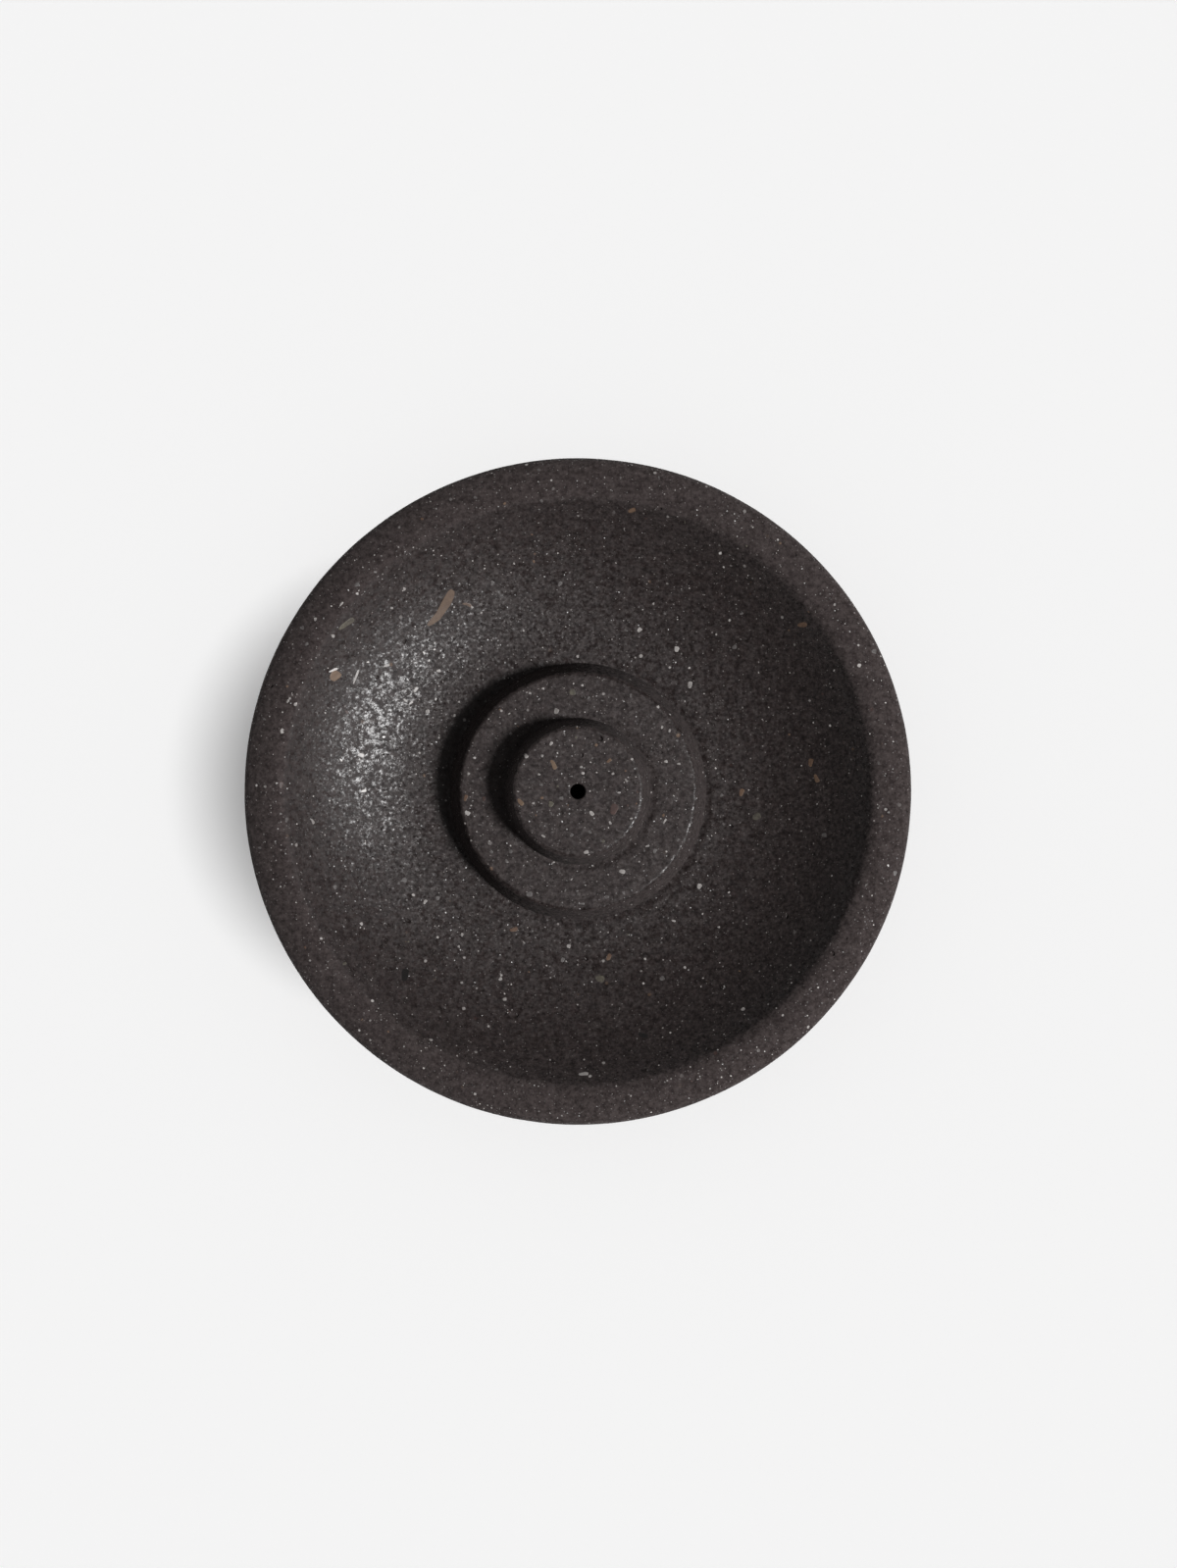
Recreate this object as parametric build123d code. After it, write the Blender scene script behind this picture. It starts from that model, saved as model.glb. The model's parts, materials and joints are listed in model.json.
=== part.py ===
from build123d import *
from math import asin, cos, hypot, sin, sqrt
import os

# Incense stick holder: a shallow round dish that catches the ash, with two low round tiers
# in its middle. Each tier stands in a bevelled seat, is kept on centre by a spigot or a stem,
# and lifts straight out. The upper tier holds the stick upright in a blind bore. Soft pads
# under the dish keep it off the table.
# Lengths are in millimetres. The origin is on the table under the common axis, +Z is up.

# Dish
DISH_DIAMETER = 120.0  # over the rim
BOWL_DEPTH = 12.9  # from the rim's crest down to the lowest level of the bowl's curve
BOWL_LEVEL_DIAMETER = 48.0  # circle under the lower tier where the bowl's curve would be level
FLOOR_THICKNESS = 5.7  # from the curve's lowest level down to the underside
WALL = 7.3  # from the bowl's curve to the outside's curve
FOOT_DIAMETER = 68.0  # flat underside
RIM_WIDTH = 5.6  # from the crest out to the edge
RIM_INNER_ROUND = 2.8  # turns the bowl's curve over into the crest
RIM_DOME_RADIUS = 9.0  # gentle fall from the crest outwards
RIM_EDGE_ROUND = 2.0  # outermost edge

# Lower tier
LOWER_TIER_DIAMETER = 43.0  # at its top edge
LOWER_TIER_FLARE = 1.9  # how much further out its wall stands at the foot
LOWER_TIER_RISE = 6.1  # top above the dish's floor
LOWER_SEAT_DEPTH = 0.25  # seat below the dish's floor
LOWER_SEAT_BEVEL = 1.0  # width of the bevel round the seat
SPIGOT_DIAMETER = 28.0
SPIGOT_LENGTH = 2.2

# Stick holder, the upper tier
UPPER_TIER_DIAMETER = 23.6  # at its top edge
UPPER_TIER_FLARE = 1.45
UPPER_TIER_RISE = 6.6  # top above the lower tier's top
UPPER_SEAT_DEPTH = 0.25
UPPER_SEAT_BEVEL = 1.1
STEM_DIAMETER = 11.0
STICK_BORE_DIAMETER = 2.75
STICK_BORE_FLOOR = 1.6  # left under the bore
STICK_BORE_MOUTH_ROUND = 0.25

# Edges and fits
TIER_EDGE_ROUND = 0.9  # top edge of either tier
SPIGOT_EDGE_ROUND = 0.4  # leading edge of the spigot and of the stem
SEAT_GAP = 0.25  # between a tier's foot and the bevel round it
FIT_CLEARANCE = 0.2  # round the spigot and round the stem
END_CLEARANCE = 0.4  # below the spigot, and from the stem's end to the spigot's

# Foot pads
PAD_COUNT = 4
PAD_DIAMETER = 10.0
PAD_THICKNESS = 2.0
PAD_RECESS_DEPTH = 0.8
PAD_EDGE_ROUND = 0.5
PAD_CLEARANCE = 0.15  # round a pad in its recess
PAD_MARGIN = 4.0  # from a recess to the edge of the flat underside
PAD_START_ANGLE = 45.0  # degrees from +X to the first pad

# Radii, from the axis out
spigot_radius = SPIGOT_DIAMETER / 2
stem_radius = STEM_DIAMETER / 2
bore_radius = STICK_BORE_DIAMETER / 2
upper_top_radius = UPPER_TIER_DIAMETER / 2
upper_foot_radius = upper_top_radius + UPPER_TIER_FLARE
upper_seat_radius = upper_foot_radius + SEAT_GAP
lower_top_radius = LOWER_TIER_DIAMETER / 2
lower_foot_radius = lower_top_radius + LOWER_TIER_FLARE
lower_seat_radius = lower_foot_radius + SEAT_GAP
floor_radius = lower_seat_radius + LOWER_SEAT_BEVEL
dish_radius = DISH_DIAMETER / 2
crest_radius = dish_radius - RIM_WIDTH
foot_radius = FOOT_DIAMETER / 2
pad_radius = PAD_DIAMETER / 2
recess_radius = pad_radius + PAD_CLEARANCE
pad_circle_radius = foot_radius - PAD_MARGIN - recess_radius

# Bowl's curve, an arc that runs up into the rim's inner round
bowl_level_radius = BOWL_LEVEL_DIAMETER / 2
bowl_run = crest_radius - bowl_level_radius
bowl_reach = (bowl_run**2 + BOWL_DEPTH**2) / (2 * BOWL_DEPTH)
bowl_radius = bowl_reach - RIM_INNER_ROUND
floor_rise = bowl_radius - sqrt(bowl_radius**2 - (floor_radius - bowl_level_radius) ** 2)

# Heights, from the table up
underside_z = PAD_THICKNESS - PAD_RECESS_DEPTH
bowl_low_z = underside_z + FLOOR_THICKNESS
crest_z = bowl_low_z + BOWL_DEPTH
floor_z = bowl_low_z + floor_rise
lower_seat_z = floor_z - LOWER_SEAT_DEPTH
spigot_end_z = lower_seat_z - SPIGOT_LENGTH
pocket_z = spigot_end_z - END_CLEARANCE
lower_top_z = floor_z + LOWER_TIER_RISE
upper_seat_z = lower_top_z - UPPER_SEAT_DEPTH
upper_top_z = lower_top_z + UPPER_TIER_RISE
stem_end_z = spigot_end_z + END_CLEARANCE
bore_end_z = stem_end_z + STICK_BORE_FLOOR


def arc(centre, start, end):
    """The arc of less than a half circle from start to end about a centre."""
    centre = Vector(centre)
    start = Vector(start)
    end = Vector(end)
    radius = (start - centre).length
    bisector = ((start - centre) + (end - centre)).normalized()
    return ThreePointArc(start, centre + bisector * radius, end)


def turned(edges):
    """The solid that a closed half section, drawn as (radius, height), turns out about Z."""
    return revolve(Plane.XZ * make_face(edges), Axis.Z)


def turned_corners(*corners):
    """A turned solid whose half section has straight sides and corners of (radius, height, rounding)."""
    points = [(radius, height) for radius, height, rounding in corners]
    roundings = [rounding for radius, height, rounding in corners]
    return turned(FilletPolyline(*points, radius=roundings, close=True).edges())


def pad_places():
    """The pads' places round the axis, at the height of the table."""
    return PolarLocations(pad_circle_radius, PAD_COUNT, start_angle=PAD_START_ANGLE)


def dish():
    """The dish: bowl, rolled rim, outside of even wall, flat underside, and the lower tier's seat."""
    # The bowl's arc meets the rim's inner round, whose top is the crest.
    bowl_slope = asin(bowl_run / bowl_reach)
    bowl_centre = (bowl_level_radius, bowl_low_z + bowl_radius)
    bowl_end = (
        bowl_level_radius + bowl_radius * sin(bowl_slope),
        bowl_low_z + bowl_radius * (1 - cos(bowl_slope)),
    )
    crest = (crest_radius, crest_z)
    inner_centre = (crest_radius, crest_z - RIM_INNER_ROUND)

    # The dome falls away from the crest and runs into the edge's round, which is the widest place.
    edge_offset = RIM_DOME_RADIUS - RIM_EDGE_ROUND
    dome_slope = asin((RIM_WIDTH - RIM_EDGE_ROUND) / edge_offset)
    dome_centre = (crest_radius, crest_z - RIM_DOME_RADIUS)
    dome_end = (
        crest_radius + RIM_DOME_RADIUS * sin(dome_slope),
        crest_z - RIM_DOME_RADIUS * (1 - cos(dome_slope)),
    )
    edge_centre = (dish_radius - RIM_EDGE_ROUND, dome_centre[1] + edge_offset * cos(dome_slope))

    # The outside's arc follows the bowl a wall away, from the edge's round in to the foot.
    outside_radius = bowl_radius + WALL
    across = edge_centre[0] - foot_radius
    up = edge_centre[1] - underside_z
    span = hypot(across, up)
    along = (outside_radius**2 - (outside_radius - RIM_EDGE_ROUND) ** 2 + span**2) / (2 * span)
    aside = sqrt(outside_radius**2 - along**2)
    outside_centre = (
        foot_radius + (along * across - aside * up) / span,
        underside_z + (along * up + aside * across) / span,
    )
    outside_share = outside_radius / (outside_radius - RIM_EDGE_ROUND)
    outside_end = (
        outside_centre[0] + (edge_centre[0] - outside_centre[0]) * outside_share,
        outside_centre[1] + (edge_centre[1] - outside_centre[1]) * outside_share,
    )

    foot = (foot_radius, underside_z)
    floor_edge = (floor_radius, floor_z)
    pocket_radius = spigot_radius + FIT_CLEARANCE
    seat_and_pocket = Polyline(
        floor_edge,
        (lower_seat_radius, lower_seat_z),
        (pocket_radius, lower_seat_z),
        (pocket_radius, pocket_z),
        (0, pocket_z),
        (0, underside_z),
        foot,
    )
    body = turned(
        [
            arc(outside_centre, foot, outside_end),
            arc(edge_centre, outside_end, dome_end),
            arc(dome_centre, dome_end, crest),
            arc(inner_centre, crest, bowl_end),
            arc(bowl_centre, bowl_end, floor_edge),
            *seat_and_pocket.edges(),
        ]
    )
    from_table = (Align.CENTER, Align.CENTER, Align.MIN)
    recess = Cylinder(recess_radius, underside_z + PAD_RECESS_DEPTH, align=from_table)
    return body - pad_places() * recess


def lower_tier():
    """The lower tier: a flared ring on a spigot, with a seat on top and a bore for the stem."""
    stem_bore_radius = stem_radius + FIT_CLEARANCE
    return turned_corners(
        (stem_bore_radius, spigot_end_z, 0),
        (spigot_radius, spigot_end_z, SPIGOT_EDGE_ROUND),
        (spigot_radius, lower_seat_z, 0),
        (lower_foot_radius, lower_seat_z, 0),
        (lower_top_radius, lower_top_z, TIER_EDGE_ROUND),
        (upper_seat_radius + UPPER_SEAT_BEVEL, lower_top_z, 0),
        (upper_seat_radius, upper_seat_z, 0),
        (stem_bore_radius, upper_seat_z, 0),
    )


def stick_holder():
    """The upper tier: a flared disc on a stem, with the stick's blind bore down its axis."""
    return turned_corners(
        (0, stem_end_z, 0),
        (stem_radius, stem_end_z, SPIGOT_EDGE_ROUND),
        (stem_radius, upper_seat_z, 0),
        (upper_foot_radius, upper_seat_z, 0),
        (upper_top_radius, upper_top_z, TIER_EDGE_ROUND),
        (bore_radius, upper_top_z, STICK_BORE_MOUTH_ROUND),
        (bore_radius, bore_end_z, 0),
        (0, bore_end_z, 0),
    )


def foot_pad():
    """A pad on the axis, standing on the table with its lower edge rounded."""
    return turned_corners(
        (0, 0, 0),
        (pad_radius, 0, PAD_EDGE_ROUND),
        (pad_radius, PAD_THICKNESS, 0),
        (0, PAD_THICKNESS, 0),
    )


pieces = {"dish": dish(), "lower_tier": lower_tier(), "stick_holder": stick_holder()}
for number, place in enumerate(pad_places(), start=1):
    pieces[f"foot_pad_{number}"] = place * foot_pad()

os.makedirs("parts", exist_ok=True)
for name, piece in pieces.items():
    export_step(piece, f"parts/{name}.step")
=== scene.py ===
import json
import math
import random

import bmesh
import bpy
from bpy.props import FloatProperty, FloatVectorProperty, IntProperty, PointerProperty
from bpy.types import Operator, Panel, PropertyGroup
from mathutils import Matrix, Vector, noise


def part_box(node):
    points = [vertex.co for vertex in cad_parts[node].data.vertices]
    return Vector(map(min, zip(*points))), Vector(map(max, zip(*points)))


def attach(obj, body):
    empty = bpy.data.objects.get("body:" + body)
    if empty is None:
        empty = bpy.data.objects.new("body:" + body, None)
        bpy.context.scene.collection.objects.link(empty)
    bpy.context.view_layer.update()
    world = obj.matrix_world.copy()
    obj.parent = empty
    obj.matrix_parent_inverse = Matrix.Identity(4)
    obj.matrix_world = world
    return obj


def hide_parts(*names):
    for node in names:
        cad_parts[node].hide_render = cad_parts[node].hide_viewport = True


bl_info = {
    "name": "Incense Stick Holder",
    "version": (1, 0, 0),
    "blender": (4, 5, 0),
    "location": "View3D > Sidebar > Incense Holder",
    "description": "Ground terrazzo ash dish with lift-out tiers, stone chips, air holes and rubber pads",
    "category": "Add Mesh",
}

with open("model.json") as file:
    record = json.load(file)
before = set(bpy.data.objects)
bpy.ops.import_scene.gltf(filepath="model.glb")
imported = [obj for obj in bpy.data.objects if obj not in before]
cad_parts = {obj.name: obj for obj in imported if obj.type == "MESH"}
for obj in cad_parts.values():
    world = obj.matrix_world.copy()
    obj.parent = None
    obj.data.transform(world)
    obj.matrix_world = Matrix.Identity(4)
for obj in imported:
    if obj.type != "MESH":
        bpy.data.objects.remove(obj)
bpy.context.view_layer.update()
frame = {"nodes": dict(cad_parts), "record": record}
NODE_BOXES = {node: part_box(node) for node in frame["nodes"]}
MM = 0.001
TINY = 0.001  # millimetres

# Half sections of the solids in millimetres. Heights and outer radii come from the frame.
BOWL_DEPTH = 12.9
BOWL_LEVEL_RADIUS = 24.0
RIM_WIDTH = 5.6
RIM_INNER_ROUND = 2.8
RIM_DOME_RADIUS = 9.0
RIM_EDGE_ROUND = 2.0
WALL = 7.3
FOOT_RADIUS = 34.0
LOWER_FLARE = 1.9
LOWER_SEAT_DEPTH = 0.25
LOWER_SEAT_BEVEL = 1.0
SPIGOT_RADIUS = 14.0
UPPER_FLARE = 1.45
UPPER_SEAT_DEPTH = 0.25
UPPER_SEAT_BEVEL = 1.1
STEM_RADIUS = 5.5
BORE_MOUTH_ROUND = 0.25
TIER_EDGE_ROUND = 0.9
SPIGOT_EDGE_ROUND = 0.4
SEAT_GAP = 0.25
FIT_CLEARANCE = 0.2
END_CLEARANCE = 0.4
PAD_CLEARANCE = 0.15
PAD_EDGE_ROUND = 0.5
PADS = ("foot_pad_1", "foot_pad_2", "foot_pad_3", "foot_pad_4")

# The photograph's frame, and where the rim's circle lies in it, in pixels.
PHOTO_WIDTH = 1200
PHOTO_HEIGHT = 1599
RIM_CENTRE_X = 589.1
RIM_CENTRE_Y = 807.1
RIM_RADIUS_PIXELS = 339.9


def outer_radius(node):
    """Outer radius of a round node about the axis, in millimetres."""
    return NODE_BOXES[node][1].x / MM


def foot_height(node):
    """Lowest height of a node, in millimetres."""
    return NODE_BOXES[node][0].z / MM


def top_height(node):
    """Highest height of a node, in millimetres."""
    return NODE_BOXES[node][1].z / MM


def top_edge(node):
    """Radius of a tier's top edge before rounding, in millimetres."""
    return outer_radius(node) - {"lower_tier": LOWER_FLARE, "stick_holder": UPPER_FLARE}[node]


def linear(code):
    """Linear red, green, blue and alpha of an sRGB hex colour."""
    channels = [int(code[i : i + 2], 16) / 255 for i in (1, 3, 5)]
    return (*[c / 12.92 if c <= 0.04045 else ((c + 0.055) / 1.055) ** 2.4 for c in channels], 1.0)


def length_setting(name, description, millimetres):
    """A length that shows in the sidebar."""
    return FloatProperty(name=name, description=description, default=millimetres * MM, min=0, unit="LENGTH")


def angle_setting(name, description, degrees):
    """An angle that shows in the sidebar."""
    return FloatProperty(name=name, description=description, default=math.radians(degrees), subtype="ANGLE")


def strength_setting(name, description, strength):
    """A strength of light that shows in the sidebar."""
    return FloatProperty(name=name, description=description, default=strength, min=0)


def count_setting(name, description, count):
    """A number of like things that shows in the sidebar."""
    return IntProperty(name=name, description=description, default=count, min=0)


def colour_setting(name, description, code):
    """A colour that shows in the sidebar, from its sRGB hex value."""
    return FloatVectorProperty(
        name=name, description=description, default=linear(code), size=4, min=0, max=1, subtype="COLOR"
    )


class HolderShape(PropertyGroup):
    """How the castings differ from clean turned solids."""

    spacing: length_setting("Mesh spacing", "Distance between points along a section", 0.5)
    swell: length_setting("Swell", "Height of the slow unevenness left by hand finishing", 0.05)
    ripple: length_setting("Ripple", "Height of the short unevenness left by hand finishing", 0.022)
    lower_crown: length_setting("Lower crown", "Fall of the lower tier's top towards its edge", 0.12)
    lower_crown_width: length_setting("Lower crown width", "Band in which the lower tier's top falls", 5.5)
    upper_crown: length_setting("Upper crown", "Fall of the stick holder's top towards its edge", 0.04)
    upper_crown_width: length_setting("Upper crown width", "Band in which the holder's top falls", 2.0)
    edge_wear: length_setting("Edge wear", "Deepest wear along a tier's top edge", 0.12)
    dish_pits: count_setting("Dish pits", "Air holes in the dish", 150)
    tier_pits: count_setting("Tier pits", "Air holes in each tier", 18)
    dish_chips: count_setting("Dish chips", "Small loose chips in the dish", 70)
    tier_chips: count_setting("Tier chips", "Small loose chips in each tier", 28)


class HolderFinish(PropertyGroup):
    """Colours of the cast stone, its chips and the pads."""

    binder_dark: colour_setting("Binder, dark", "Tinted cement where it is densest", "#1E1514")
    binder_light: colour_setting("Binder, light", "Tinted cement where it is thinnest", "#403837")
    sand: colour_setting("Sand", "Fine pale sand in the cement", "#8A8583")
    quartz: colour_setting("Quartz", "Pale quartz grains", "#C2BDBA")
    basalt: colour_setting("Basalt", "Black grains", "#14110F")
    umber: colour_setting("Umber", "Brown stone chips", "#7A6350")
    shell: colour_setting("Shell", "Long pieces of shell", "#614D3B")
    horn: colour_setting("Horn", "Small pale brown chips", "#73604F")
    brick: colour_setting("Brick", "Red stone chips", "#553D37")
    olive: colour_setting("Olive", "Greenish translucent chips", "#6A6557")
    rubber: colour_setting("Rubber", "Moulded foot pads", "#1C1B1B")
    paper: colour_setting("Paper", "Pale floor", "#EDEDED")


class HolderStage(PropertyGroup):
    """Camera and lamps."""

    lens: FloatProperty(name="Lens", description="Focal length", default=100, min=10, unit="CAMERA")
    key_azimuth: angle_setting("Key azimuth", "Key lamp's bearing from +X", -19)
    key_height: angle_setting("Key height", "Key lamp above the horizon", 48)
    key_strength: strength_setting("Key strength", "Key lamp on the object", 3.6)
    floor_azimuth: angle_setting("Floor lamp azimuth", "Floor lamp's bearing from +X", -2.5)
    floor_height: angle_setting("Floor lamp height", "Floor lamp above the horizon", 60)
    floor_strength: strength_setting("Floor lamp strength", "Floor lamp on the floor alone", 2.37)
    floor_glow: strength_setting("Floor glow", "Light that the floor keeps in shadow", 0.25)


def spaced_line(start, end, spacing):
    """Points after start up to end, about a spacing apart."""
    start = Vector(start)
    end = Vector(end)
    steps = max(1, round((end - start).length / spacing))
    return [start.lerp(end, step / steps) for step in range(1, steps + 1)]


def spaced_arc(centre, start, end, spacing):
    """Points after start up to end on an arc of less than a half circle about a centre."""
    centre = Vector(centre)
    arm = Vector(start) - centre
    turn = math.remainder(
        math.atan2(end[1] - centre.y, end[0] - centre.x) - math.atan2(arm.y, arm.x), math.tau
    )
    steps = max(4, round(abs(turn) * arm.length / spacing))
    return [centre + Matrix.Rotation(turn * step / steps, 2) @ arm for step in range(1, steps + 1)]


def rounded_section(corners, spacing):
    """Points along straight sides between corners of (radius, height, rounding)."""
    places = [Vector(corner[:2]) for corner in corners]
    points = [places[0]]
    for before, place, after, corner in zip(places, places[1:], places[2:], corners[1:]):
        rounding = corner[2]
        if rounding == 0:
            points += spaced_line(points[-1], place, spacing)
            continue
        back = (before - place).normalized()
        on = (after - place).normalized()
        half = back.angle(on) / 2
        start = place + back * (rounding / math.tan(half))
        end = place + on * (rounding / math.tan(half))
        centre = place + (back + on).normalized() * (rounding / math.sin(half))
        points += spaced_line(points[-1], start, spacing)
        points += spaced_arc(centre, start, end, spacing / 3)
    return points + spaced_line(points[-1], places[-1], spacing)


def bowl_arc():
    """The bowl's arc in the dish's half section: its centre, radius and steepest slope."""
    run = outer_radius("dish") - RIM_WIDTH - BOWL_LEVEL_RADIUS
    reach = (run**2 + BOWL_DEPTH**2) / (2 * BOWL_DEPTH)
    radius = reach - RIM_INNER_ROUND
    centre = Vector((BOWL_LEVEL_RADIUS, top_height("dish") - BOWL_DEPTH + radius))
    return centre, radius, math.asin(run / reach)


def floor_edge():
    """Where the bowl's arc ends at the bevel of the lower tier's seat."""
    centre, radius, slope = bowl_arc()
    edge = outer_radius("lower_tier") + SEAT_GAP + LOWER_SEAT_BEVEL
    return Vector((edge, centre.y - math.sqrt(radius**2 - (edge - centre.x) ** 2)))


def dish_section(spacing):
    """The dish's half section from the axis underneath, round the outside and the rim, into the pocket."""
    underside = foot_height("dish")
    crest_z = top_height("dish")
    crest = (outer_radius("dish") - RIM_WIDTH, crest_z)
    bowl_centre, bowl_radius, bowl_slope = bowl_arc()
    bowl_end = bowl_centre + bowl_radius * Vector((math.sin(bowl_slope), -math.cos(bowl_slope)))

    edge_offset = RIM_DOME_RADIUS - RIM_EDGE_ROUND
    dome_slope = math.asin((RIM_WIDTH - RIM_EDGE_ROUND) / edge_offset)
    dome_out = Vector((math.sin(dome_slope), math.cos(dome_slope)))
    dome_centre = Vector((crest[0], crest_z - RIM_DOME_RADIUS))
    dome_end = dome_centre + dome_out * RIM_DOME_RADIUS
    edge_centre = dome_centre + dome_out * edge_offset

    foot = Vector((FOOT_RADIUS, underside))
    outside_radius = bowl_radius + WALL
    edge_reach = outside_radius - RIM_EDGE_ROUND
    slant = edge_centre - foot
    along = (outside_radius**2 - edge_reach**2 + slant.length**2) / (2 * slant.length)
    aside = math.sqrt(outside_radius**2 - along**2)
    outside_centre = foot + slant.normalized() * along + slant.normalized().orthogonal() * aside
    outside_end = edge_centre + (edge_centre - outside_centre).normalized() * RIM_EDGE_ROUND

    bowl_start = floor_edge()
    lower_seat_z = bowl_start.y - LOWER_SEAT_DEPTH
    pocket_z = foot_height("lower_tier") - END_CLEARANCE
    pocket_radius = SPIGOT_RADIUS + FIT_CLEARANCE
    points = [Vector((0, underside))]
    points += spaced_line(points[-1], foot, 2 * spacing)
    points += spaced_arc(outside_centre, foot, outside_end, 1.5 * spacing)
    points += spaced_arc(edge_centre, outside_end, dome_end, spacing / 2)
    points += spaced_arc(dome_centre, dome_end, crest, spacing)
    points += spaced_arc((crest[0], crest_z - RIM_INNER_ROUND), crest, bowl_end, spacing / 2)
    points += spaced_arc(bowl_centre, bowl_end, bowl_start, spacing)
    for corner in (
        (bowl_start.x - LOWER_SEAT_BEVEL, lower_seat_z),
        (pocket_radius, lower_seat_z),
        (pocket_radius, pocket_z),
        (0, pocket_z),
    ):
        points += spaced_line(points[-1], corner, spacing)
    return points


def lower_tier_section(spacing):
    """The lower tier's half section, a closed loop that begins at the lower end of the stem's bore."""
    bore = STEM_RADIUS + FIT_CLEARANCE
    spigot_end = foot_height("lower_tier")
    seat = floor_edge().y - LOWER_SEAT_DEPTH
    top = top_height("lower_tier")
    foot = outer_radius("lower_tier")
    upper_seat = outer_radius("stick_holder") + SEAT_GAP
    corners = (
        (bore, spigot_end, 0),
        (SPIGOT_RADIUS, spigot_end, SPIGOT_EDGE_ROUND),
        (SPIGOT_RADIUS, seat, 0),
        (foot, seat, 0),
        (foot - LOWER_FLARE, top, TIER_EDGE_ROUND),
        (upper_seat + UPPER_SEAT_BEVEL, top, 0),
        (upper_seat, top - UPPER_SEAT_DEPTH, 0),
        (bore, top - UPPER_SEAT_DEPTH, 0),
        (bore, spigot_end, 0),
    )
    return rounded_section(corners, spacing)[:-1]


def stick_holder_section(spacing):
    """The stick holder's half section from the axis under the stem to the axis at the bore's end."""
    stem_end = foot_height("stick_holder")
    shoulder = top_height("lower_tier") - UPPER_SEAT_DEPTH
    top = top_height("stick_holder")
    foot = outer_radius("stick_holder")
    bore = next(m for m in frame["record"]["mounts"] if m["name"] == "stick_bore")["dims"]
    bore_end = top - BORE_MOUTH_ROUND - bore["length_mm"]
    corners = (
        (0, stem_end, 0),
        (STEM_RADIUS, stem_end, SPIGOT_EDGE_ROUND),
        (STEM_RADIUS, shoulder, 0),
        (foot, shoulder, 0),
        (foot - UPPER_FLARE, top, TIER_EDGE_ROUND),
        (bore["r_mm"], top, BORE_MOUTH_ROUND),
        (bore["r_mm"], bore_end, 0),
        (0, bore_end, 0),
    )
    return rounded_section(corners, spacing)


def crown(node, shape):
    """How far a tier's top falls towards its edge, and over how wide a band, in millimetres."""
    drop, width = {
        "lower_tier": (shape.lower_crown, shape.lower_crown_width),
        "stick_holder": (shape.upper_crown, shape.upper_crown_width),
    }[node]
    return drop / MM, width / MM


def crowned(section, node, shape):
    """A tier's section with its top lowered towards the edge, as a hand-rubbed top wears."""
    drop, width = crown(node, shape)
    edge = top_edge(node)
    points = []
    for point in section:
        fall = 0
        if point.y > top_height(node) - TIER_EDGE_ROUND and point.x > edge - width:
            fall = drop * min(1, (point.x - edge + width) / width) ** 2
        points.append(Vector((point.x, point.y - fall)))
    return points


SWELL_WIDTH = 14.0
RIPPLE_WIDTH = 3.5


def unevenness(place, shape):
    """How far a finished surface stands out at a place, both in millimetres."""
    swell = noise.noise(place / SWELL_WIDTH) * shape.swell
    ripple = noise.noise(place / RIPPLE_WIDTH) * shape.ripple
    return (swell + ripple) / MM


def skin(rings):
    """Faces between rings that follow each other. A ring that repeats one vertex closes to a point."""
    faces = []
    for lower, upper in zip(rings, rings[1:]):
        for step in range(len(lower)):
            after = (step + 1) % len(lower)
            corners = (lower[step], lower[after], upper[after], upper[step])
            faces.append(tuple(dict.fromkeys(corners)))
    return faces


def new_piece(name, vertices, faces):
    """An object in the scene with a mesh of its own."""
    mesh = bpy.data.meshes.new(name)
    mesh.from_pydata(vertices, [], faces)
    piece = bpy.data.objects.new(name, mesh)
    bpy.context.scene.collection.objects.link(piece)
    return piece


def loose_piece(name, made):
    """An object, not yet in the scene, from a bmesh that it uses up."""
    mesh = bpy.data.meshes.new(name)
    made.to_mesh(mesh)
    made.free()
    return bpy.data.objects.new(name, mesh)


def lathe(name, section, segments, closed=False):
    """An object turned from a half section in millimetres. A point on the axis becomes one vertex."""
    vertices = []
    rings = []
    for point in section:
        first = len(vertices)
        if point.x < TINY:
            vertices.append((0, 0, point.y * MM))
            rings.append([first] * segments)
            continue
        for step in range(segments):
            angle = math.tau * step / segments
            around = (math.cos(angle), math.sin(angle))
            vertices.append((point.x * around[0] * MM, point.x * around[1] * MM, point.y * MM))
        rings.append(list(range(first, first + segments)))
    if closed:
        rings.append(rings[0])
    return new_piece(name, vertices, skin(rings))


def plan(place):
    """Distance of a place from the axis."""
    return math.hypot(place.x, place.y)


def finish_by_hand(piece, shape, shown):
    """Moves the shown surface in and out a little. shown gives a share from 0 to 1 for (radius, height)."""
    normals = [vertex.normal.copy() for vertex in piece.data.vertices]
    for vertex, normal in zip(piece.data.vertices, normals):
        place = vertex.co / MM
        vertex.co += normal * (unevenness(place, shape) * shown(plan(place), place.z) * MM)


WEAR_REACH = 0.9
WEAR_WIDTH = 1.2
WEAR_OCTAVES = 3
WEAR_BIAS = 0.15  # more than half of the edge is worn


def wear_edge(piece, radius, height, depth):
    """Wears a round edge down unevenly, in a band that reaches WEAR_REACH from it. Depth is in metres."""
    for vertex in piece.data.vertices:
        place = vertex.co / MM
        away = math.hypot(plan(place) - radius, place.z - height)
        if away > WEAR_REACH:
            continue
        uneven = noise.fractal(place / WEAR_WIDTH, 1.0, 2.0, WEAR_OCTAVES)
        worn = max(0, uneven + WEAR_BIAS) * (1 - away / WEAR_REACH)
        inward = Vector((-place.x, -place.y, -radius)).normalized()
        vertex.co += inward * min(worn, 1) * depth


def on_turn(point, bearing):
    """Place in space of a section's point at a bearing."""
    return Vector((point.x * math.cos(bearing), point.x * math.sin(bearing), point.y))


def side_normal(start, end):
    """Outward normal of a section's side."""
    side = end - start
    return Vector((side.y, -side.x)).normalized()


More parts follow.
